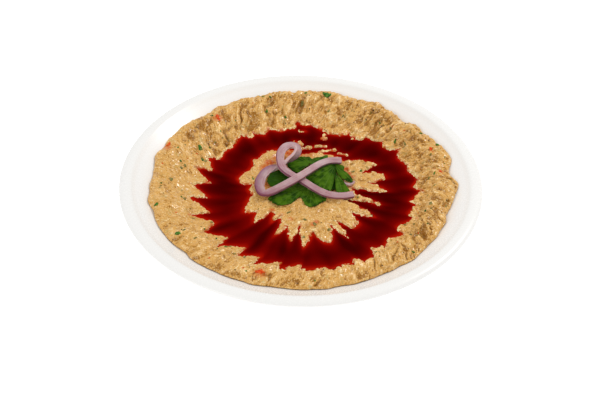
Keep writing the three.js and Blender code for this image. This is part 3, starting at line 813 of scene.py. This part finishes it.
# ------------------------
# Parsley. Fresh flat leaves laid on the mound: thin, toothed at their far edge, with a pale vein
# up each lobe. They are pressed down a little under the onion.
leaf_thickness = 0.35
leaf_stalk = 0.8
leaf_wave = 0.25
leaf_rows = 40
leaf_crinkle = 0.16
leaf_crinkle_size = 3.4
vein_spacing = 17.0
branch_spacing = 2.6
vein_depth = 0.08
# Each leaflet has its stalk end, the height of its edge, how far it arches, how much painted
# shade darkens it where it lies in the shadow of the onion or other leaves, and its outline as the
# angle and radius of each lobe and notch about the stalk end.
leaves = {
    "parsley_leaf_back": [((5.4, 23.4, 16.4), 15.8, 0.5, 0.2, (
        (227, 10.6), (216, 12.4), (193, 13.4), (177, 15), (144, 12), (122, 10), (105, 9.2), (91, 8.3),
        (80, 6.9), (71, 7.4), (52, 11.6), (44, 15.2), (36, 14.8), (20, 9.6),
    ))],
    "parsley_leaf_left": [((-6.1, 9.2, 16), 15.5, 0.5, 0.75, (
        (105, 7.7), (124, 10.4), (144, 13.1), (162, 14.6), (187, 15.9), (204, 16), (214, 14.6), (226, 10.5),
        (234, 4.7),
    ))],
    "parsley_leaf_front_left": [((3.3, 1.2, 16), 15.5, 0.4, 0, (
        (128, 6.6), (150, 8), (169, 10.5), (198, 17), (205, 26.3), (214, 27), (225, 25.7), (234, 23),
        (242, 17.2), (246, 12.5), (252, 9), (262, 6.2), (280, 4.6), (298, 4.2),
    ))],
    "parsley_leaf_front": [((6.6, -0.9, 15.6), 15.4, 0.2, 0, (
        (206, 4.5), (226, 10), (240, 11.6), (250, 13.8), (257, 15.9), (269, 17.8), (278, 16.6), (294, 15),
        (315, 13.7), (326, 10.7), (334, 5.7),
    ))],
    "parsley_leaf_top": [
        ((21.7, 20.4, 18.4), 17.4, 0.6, 0, (
            (118, 2.6), (152, 5), (198, 14.6), (214, 22.8), (229, 22.5), (238, 23.5), (252, 25.7),
            (260, 24.6), (263, 25.8), (266, 19.1), (271, 7),
        )),
        ((21.7, 20.3, 18.2), 17, 0.5, 0, (
            (262, 5), (276, 3.9), (282, 6.5), (290, 11.9), (302, 17.9), (306, 18.7), (313, 16.9),
            (319, 12), (333, 6.6), (358, 6.2), (392, 5), (416, 3.6), (446, 3.4), (466, 2.4),
        )),
        ((21.7, 12.4, 17.8), 16.8, 0.5, 0, (
            (271, 6.9), (273, 17.2), (286, 17.8), (299, 18.9), (304, 13.5), (309, 9), (318, 4.5),
        )),
        ((21.6, 23.4, 17.9), 17.4, 0.1, 0.3, (
            (245, 1.6), (262, 4), (266, 12), (274, 12), (278, 4), (295, 1.6),
        )),
        # A dark lobe under the others: painted shadow in the deep gap between the leaflets.
        ((21.2, 19, 17), 16, 0.1, 1, ((258, 18), (263, 20), (270, 20.5), (278, 19), (284, 12))),
    ],
}
leaf_dark = (0.010, 0.042, 0.001, 1)
leaf_mid = (0.034, 0.092, 0.002, 1)
leaf_light = (0.066, 0.150, 0.006, 1)
leaf_vein = (0.12, 0.23, 0.025, 1)


def along_route(route, steps):
    """Points and turns along a smooth curve through the route."""
    knots = np.array(route, float)
    knots = np.vstack([2 * knots[0] - knots[1], knots, 2 * knots[-1] - knots[-2]])
    spot = np.linspace(0, len(route) - 1, steps)
    near = np.minimum(spot.astype(int), len(route) - 2)
    t = (spot - near)[:, None]
    a, b, c, d = (knots[near + i] for i in range(4))
    bend, twist = 2 * a - 5 * b + 4 * c - d, 3 * (b - c) + d - a
    return 0.5 * (2 * b + (c - a) * t + bend * t**2 + twist * t**3)


def leaf_blade(base, edge, arch, outline):
    """Rows of points over one leaflet, from its stalk end out, with the mark of its veins."""
    columns = int(abs(outline[-1][0] - outline[0][0]) * 0.9) + 30
    place = np.linspace(0, len(outline) - 1, columns)
    degrees, reach = along_route(outline, columns).T
    teeth = 0.012 * np.sin(place * 2 * np.pi * 1.7) - 0.018 * np.abs(np.sin(place * np.pi * 1.3))
    reach = reach * (1 + teeth)
    angle = np.radians(degrees)
    out = np.linspace(0, 1, leaf_rows)[:, None]
    radius = leaf_stalk + out * (reach - leaf_stalk)
    bend = degrees + 5 * out * np.sin(np.radians(degrees * 3))
    beat = np.abs(np.mod(bend / vein_spacing, 1) - 0.5) * 2
    sideways = (1 - beat) * np.radians(vein_spacing) / 2 * radius
    vein = np.exp(-((sideways / (0.14 + 0.12 * (1 - out))) ** 2)) * ease(radius, 1, 4)
    branch = np.mod((radius - 1.1 * sideways) / branch_spacing, 1) - 0.5
    branch = np.exp(-((branch / 0.07) ** 2)) * ease(radius, 4, 8) * 0.45
    marks = np.maximum(vein, branch)
    wave = leaf_wave * out * np.cos(np.pi * (place + 1))
    height = base[2] + (edge - base[2]) * out + arch * np.sin(np.pi * out) + wave
    x, y = base[0] + radius * np.cos(angle), base[1] + radius * np.sin(angle)
    flat = np.stack([x, y, height], axis=-1)
    pillow = 0.16 * ease(sideways, 0, 1.3) * ease(radius, 2, 6)
    crinkle = leaf_crinkle * clumps(flat.reshape(-1, 3), leaf_crinkle_size, 91).reshape(x.shape)
    flat[..., 2] += crinkle + pillow - 0.15 - vein_depth * marks
    return flat, marks


def sheet_skin(top, thickness, first):
    """Points and faces of a thin sheet below rows of points."""
    rows, columns = top.shape[:2]
    bottom = top - (0, 0, thickness)
    at = np.arange(rows * columns).reshape(rows, columns) + first
    quads = np.stack([at[:-1, :-1], at[:-1, 1:], at[1:, 1:], at[1:, :-1]], axis=-1).reshape(-1, 4)
    low = rows * columns
    rim = np.concatenate([at[0, :-1], at[:-1, -1], at[-1, :0:-1], at[:0:-1, 0]])
    beside = np.roll(rim, -1)
    side = np.stack([rim, rim + low, beside + low, beside], axis=1)
    faces = np.concatenate([quads, quads[:, ::-1] + low, side])
    return np.concatenate([top.reshape(-1, 3), bottom.reshape(-1, 3)]), faces.tolist()


def leaf_finish(start):
    vein, shade = start.mark("vein"), start.mark("shade")
    tone = start.mottle(5, detail=3)
    cell = start.mottle(0.8, detail=2)
    colour = tone.ease(0.36, 0.52).blend(leaf_dark, leaf_mid)
    colour = (tone.ease(0.48, 0.62) * 0.7).blend(colour, leaf_light)
    colour = (vein * 0.45).blend(colour, leaf_vein)
    # Painted shade darkens the leaflets that lie in shadow.
    colour = shade.blend(colour, leaf_dark)
    return {
        "Base Color": colour,
        "Roughness": 0.25 + cell * 0.25,
        "Normal": (cell * 0.3 + tone - vein * 0.3).relief(0.45, 0.5),
    }


green_leaf = finish("green_leaf", {"Specular IOR Level": 0.03}, leaf_finish)
for name, blades in leaves.items():
    points, faces, veins, shades = [], [], [], []
    for base, edge, arch, shade, outline in blades:
        top, vein = leaf_blade(base, edge, arch, outline)
        skin, sides = sheet_skin(top, leaf_thickness, len(points))
        points += skin.tolist()
        faces += sides
        veins += [*vein.ravel(), *vein.ravel()]
        shades += [shade] * len(skin)
    marks = {"vein": veins, "shade": shades}
    mould(name + "_veined", points, faces, marks, green_leaf, name, "parsley")

# ------------------------
# Onion. One layer of a red onion, cut across into a strand and laid on the leaves in two loops.
# Its cut faces are pale and finely lined; the skin along its outer edge is purple.
band_thickness = 2.2
band_corner = 0.4
band_steps = 460
# The route gives x, y, z, the turn of the band about it, and its width.
band_route = (
    (25.8, 23.5, 19.6, -22, 4.2), (18.6, 22.5, 20.2, -22, 4.3), (11.6, 17.5, 21, -20, 4.4),
    (5.1, 9.6, 22, -16, 4.6), (-1.2, 2.2, 22.7, -12, 4.8), (-7.2, -3, 22.2, -10, 5.2),
    (-13.2, -6.1, 20.4, -5, 5.4), (-19.2, -7.9, 18.1, 0, 5.6), (-24.1, -6.9, 16.5, 15, 6.2),
    (-26.3, -1, 15.9, 26, 6.4), (-26.4, 5, 15.8, 28, 6.3), (-25, 11.1, 15.8, 28, 5.8),
    (-22.2, 15.6, 16, 22, 5.4), (-18.3, 18.5, 16.4, 0, 5), (-13.5, 20.4, 16.8, -40, 4.6),
    (-9.1, 24.8, 17.6, -75, 4.4), (-4.8, 28.1, 19.1, -98, 4.8), (-2.6, 31.5, 20.4, -125, 5),
    (-3.5, 35.7, 21, -160, 5), (-7.2, 36.6, 21.3, -185, 4.8), (-11, 34.3, 21.3, -203, 5),
    (-13.7, 28.8, 21, -208, 5.3), (-13.9, 22.3, 20.7, -203, 5.3), (-12.8, 16.1, 20.3, -195, 5.2),
    (-10.3, 11.6, 20, -190, 5), (-5.6, 7.2, 19.7, -185, 4.8), (0.3, 2.5, 19.6, -182, 4.7),
    (3.9, -0.6, 19.5, -176, 4.6), (7.7, -3.9, 19.2, -170, 4.5), (11.9, -6.7, 18.7, -165, 4.4),
    (16.1, -8.7, 18.1, -162, 4.3), (21.2, -9.2, 17.3, -160, 4.3), (27, -8.3, 16.4, -160, 4.2),
    (33.4, -5.7, 15.6, -160, 4.2),
)
sliver_thickness = 1.6
sliver_steps = 60
line_depth = 0.05
end_trim = 0.12
sliver_route = (
    (21.5, 10.6, 15.8, 0, 2), (24.3, 7.3, 15.7, 0, 2), (27.5, 5, 15.5, 0, 2), (31.2, 4.6, 15.3, 0, 2),
    (34, 7.6, 15.1, 0, 2),
)
# How far the purple of the skin shows through, at places along the route by their number.
band_blush = (
    (0, 0.15), (6, 0.25), (8, 0.75), (12, 0.85), (15, 0.6), (17, 0.2), (22, 0.1), (24, 0.4), (27, 0.25),
)
onion_pale = (0.52, 0.37, 0.375, 1)
onion_pink = (0.38, 0.185, 0.205, 1)
onion_skin = (0.20, 0.05, 0.11, 1)
onion_white = (0.74, 0.55, 0.53, 1)


def band_section(wide, high, corner):
    """Points round a flat section with rounded corners, from half its width and thickness."""
    corners = []
    for i, (right, top) in enumerate(((1, 1), (-1, 1), (-1, -1), (1, -1))):
        turn = np.radians(90 * i + np.linspace(0, 90, 6))
        centre = np.array([right * (wide - corner), top * (high - corner)])
        corners.append(centre + np.stack([np.cos(turn), np.sin(turn)], axis=1) * corner)
    points = []
    for i, count in enumerate((13, 5, 13, 5)):
        points += [corners[i], np.linspace(corners[i][-1], corners[(i + 1) % 4][0], count)[1:-1]]
    return np.concatenate(points)


def onion_finish(start):
    across, over, along, blush = (start.mark(name) for name in ("across", "over", "along", "blush"))
    lines = start.node("CombineXYZ", {}, {"X": across * 0.006, "Y": along * 0.0012, "Z": over * 0.001})
    fibre = start.mottle(0.9, detail=2, place=lines)
    cloud = start.mottle(7, detail=2)
    colour = (cloud.ease(0.35, 0.7) * 0.5 + fibre.ease(0.4, 0.7) * 0.5).blend(onion_pink, onion_pale)
    colour = (across.ease(0.6, -1.0) * blush).blend(colour, onion_skin)
    colour = (across.ease(0.82, 0.95) * 0.5).blend(colour, onion_white)
    skin = across.ease(-0.94, -0.995) * over.ease(0.75, -0.2)
    colour = (skin * 0.85).blend(colour, onion_skin)
    return {
        "Base Color": colour,
        "Roughness": 0.3 + fibre * 0.2,
        "Normal": fibre.relief(0.4, 0.2),
    }


juicy = {"Subsurface Weight": 0.25, "Subsurface Radius": (1, 0.5, 0.5), "Subsurface Scale": 0.0015}
cut_onion = finish("cut_onion", {"Specular IOR Level": 0.35, **juicy}, onion_finish)


def onion_band(name, route, thickness, node, steps):
    """One piece of onion along its route, in slices that keep where they lie in the layer."""
    path = along_route(route, steps)
    middle, turn, width = path[:, :3], np.radians(path[:, 3:4]), path[:, 4]
    ahead = np.gradient(middle, axis=0)
    step = np.linalg.norm(ahead, axis=1, keepdims=True)
    ahead = ahead / step
    side = np.cross(ahead, (0, 0, 1))
    side /= np.linalg.norm(side, axis=1, keepdims=True)
    side = side * np.cos(turn) + np.cross(ahead, side) * np.sin(turn)
    up = np.cross(side, ahead)
    length = np.cumsum(step)
    blush = np.interp(np.linspace(0, len(route) - 1, steps), *np.array(band_blush).T)
    rings, kept = [], []
    for i in range(steps):
        close = min(length[i] - length[0], length[-1] - length[i])
        trim = end_trim * math.exp(-((close / 0.3) ** 2))
        bulge = 1 + 0.02 * math.sin(length[i] * 0.35) + 0.015 * math.sin(length[i] * 0.9 + 1)
        wide, high = width[i] / 2 * bulge - trim, thickness / 2 - trim
        section = band_section(wide, high, band_corner)
        across, over = section[:, 0] / wide, section[:, 1] / high
        lined = line_depth * np.cos(across * 11) * (np.abs(over) > 0.9)
        rise = (section[:, 1] - lined * np.sign(over))[:, None]
        rings.append(middle[i] + section[:, :1] * side[i] + rise * up[i])
        whole = np.ones(len(across))
        kept.append((across, over, whole * (length[i] / 10), whole * blush[i]))
    kept = zip(("across", "over", "along", "blush"), np.concatenate(kept, axis=1))
    marks = {mark: np.r_[values, 0, 0] for mark, values in kept}
    mould(name, *rings_skin(rings, [middle[0], middle[-1]]), marks, cut_onion, node, "onion")


onion_band("onion_ring_cut", band_route, band_thickness, "onion_ring", band_steps)
onion_band("onion_sliver_cut", sliver_route, sliver_thickness, "onion_sliver", sliver_steps)

# ------------------------
# Studio. A plain pale table under soft light from all round, as in a bright room. One large soft
# lamp hangs high at the back right and a wider, fainter one stands at the front left.
table_half = 3000.0
table_drop = -0.2
table_tones = ((0.97, 0.97, 0.97, 1), (0.95, 0.95, 0.95, 1))
table_glow = 0.35
sky_colour = (1.0, 0.995, 0.985, 1)
sky_strength = 0.735
lamp_aim = (0, 0, 0.015)
# Each lamp has its place, its width, its power and its colour.
lamps = {
    "key": ((0.6, 0.5, 0.95), 0.22, 5.2, (1.0, 0.985, 0.96)),
    "fill": ((-0.9, -0.9, 0.9), 0.7, 5.3, (1.0, 0.99, 0.98)),
}


def table_finish(start):
    grain_tone = start.mottle(40, detail=3)
    return {
        "Base Color": (grain_tone * 0.3).blend(*table_tones),
        "Roughness": 0.7 + grain_tone * 0.2,
    }


even = {"Specular IOR Level": 0.2, "Emission Color": (1, 1, 1, 1), "Emission Strength": table_glow}
pale_table = finish("pale_table", even, table_finish)
corners = [(x * table_half, y * table_half, table_drop) for x, y in ((-1, -1), (1, -1), (1, 1), (-1, 1))]
table = mould("table", corners, [[0, 1, 2, 3]], {}, pale_table)

world = bpy.data.worlds.new("studio")
world.use_nodes = True
sky = world.node_tree.nodes["Background"]
sky.inputs["Color"].default_value = sky_colour
sky.inputs["Strength"].default_value = sky_strength
bpy.context.scene.world = world

for name, (place, size, power, colour) in lamps.items():
    light = bpy.data.lights.new(name, "AREA")
    light.shape = "DISK"
    light.size = size
    light.energy = power
    light.color = colour
    holder = bpy.data.objects.new(name, light)
    holder.location = place
    holder.rotation_euler = (Vector(lamp_aim) - Vector(place)).to_track_quat("-Z", "Y").to_euler()
    bpy.context.scene.collection.objects.link(holder)

# ------------------------
# Camera. It looks down at the plate from the height of someone who stands at the table, a long
# step away, and is held a little askew.
camera_elevation = math.radians(40.15)
camera_roll = math.radians(1.14)
camera_distance = 0.85
camera_aim = (0.0044, -0.0246, 0.022)
camera_sensor = 36
camera_lens = 80.1
camera = bpy.data.cameras.new("camera")
camera.sensor_width = camera_sensor
camera.lens = camera_lens
holder = bpy.data.objects.new("camera", camera)
turn = Matrix.Rotation(math.pi / 2 - camera_elevation, 4, "X") @ Matrix.Rotation(camera_roll, 4, "Z")
stand = Matrix.Translation((0, 0, camera_distance))
holder.matrix_world = Matrix.Translation(camera_aim) @ turn @ stand
bpy.context.scene.collection.objects.link(holder)
bpy.context.scene.camera = holder
bpy.context.scene.view_settings.view_transform = "Standard"
bpy.context.scene.view_settings.look = "None"
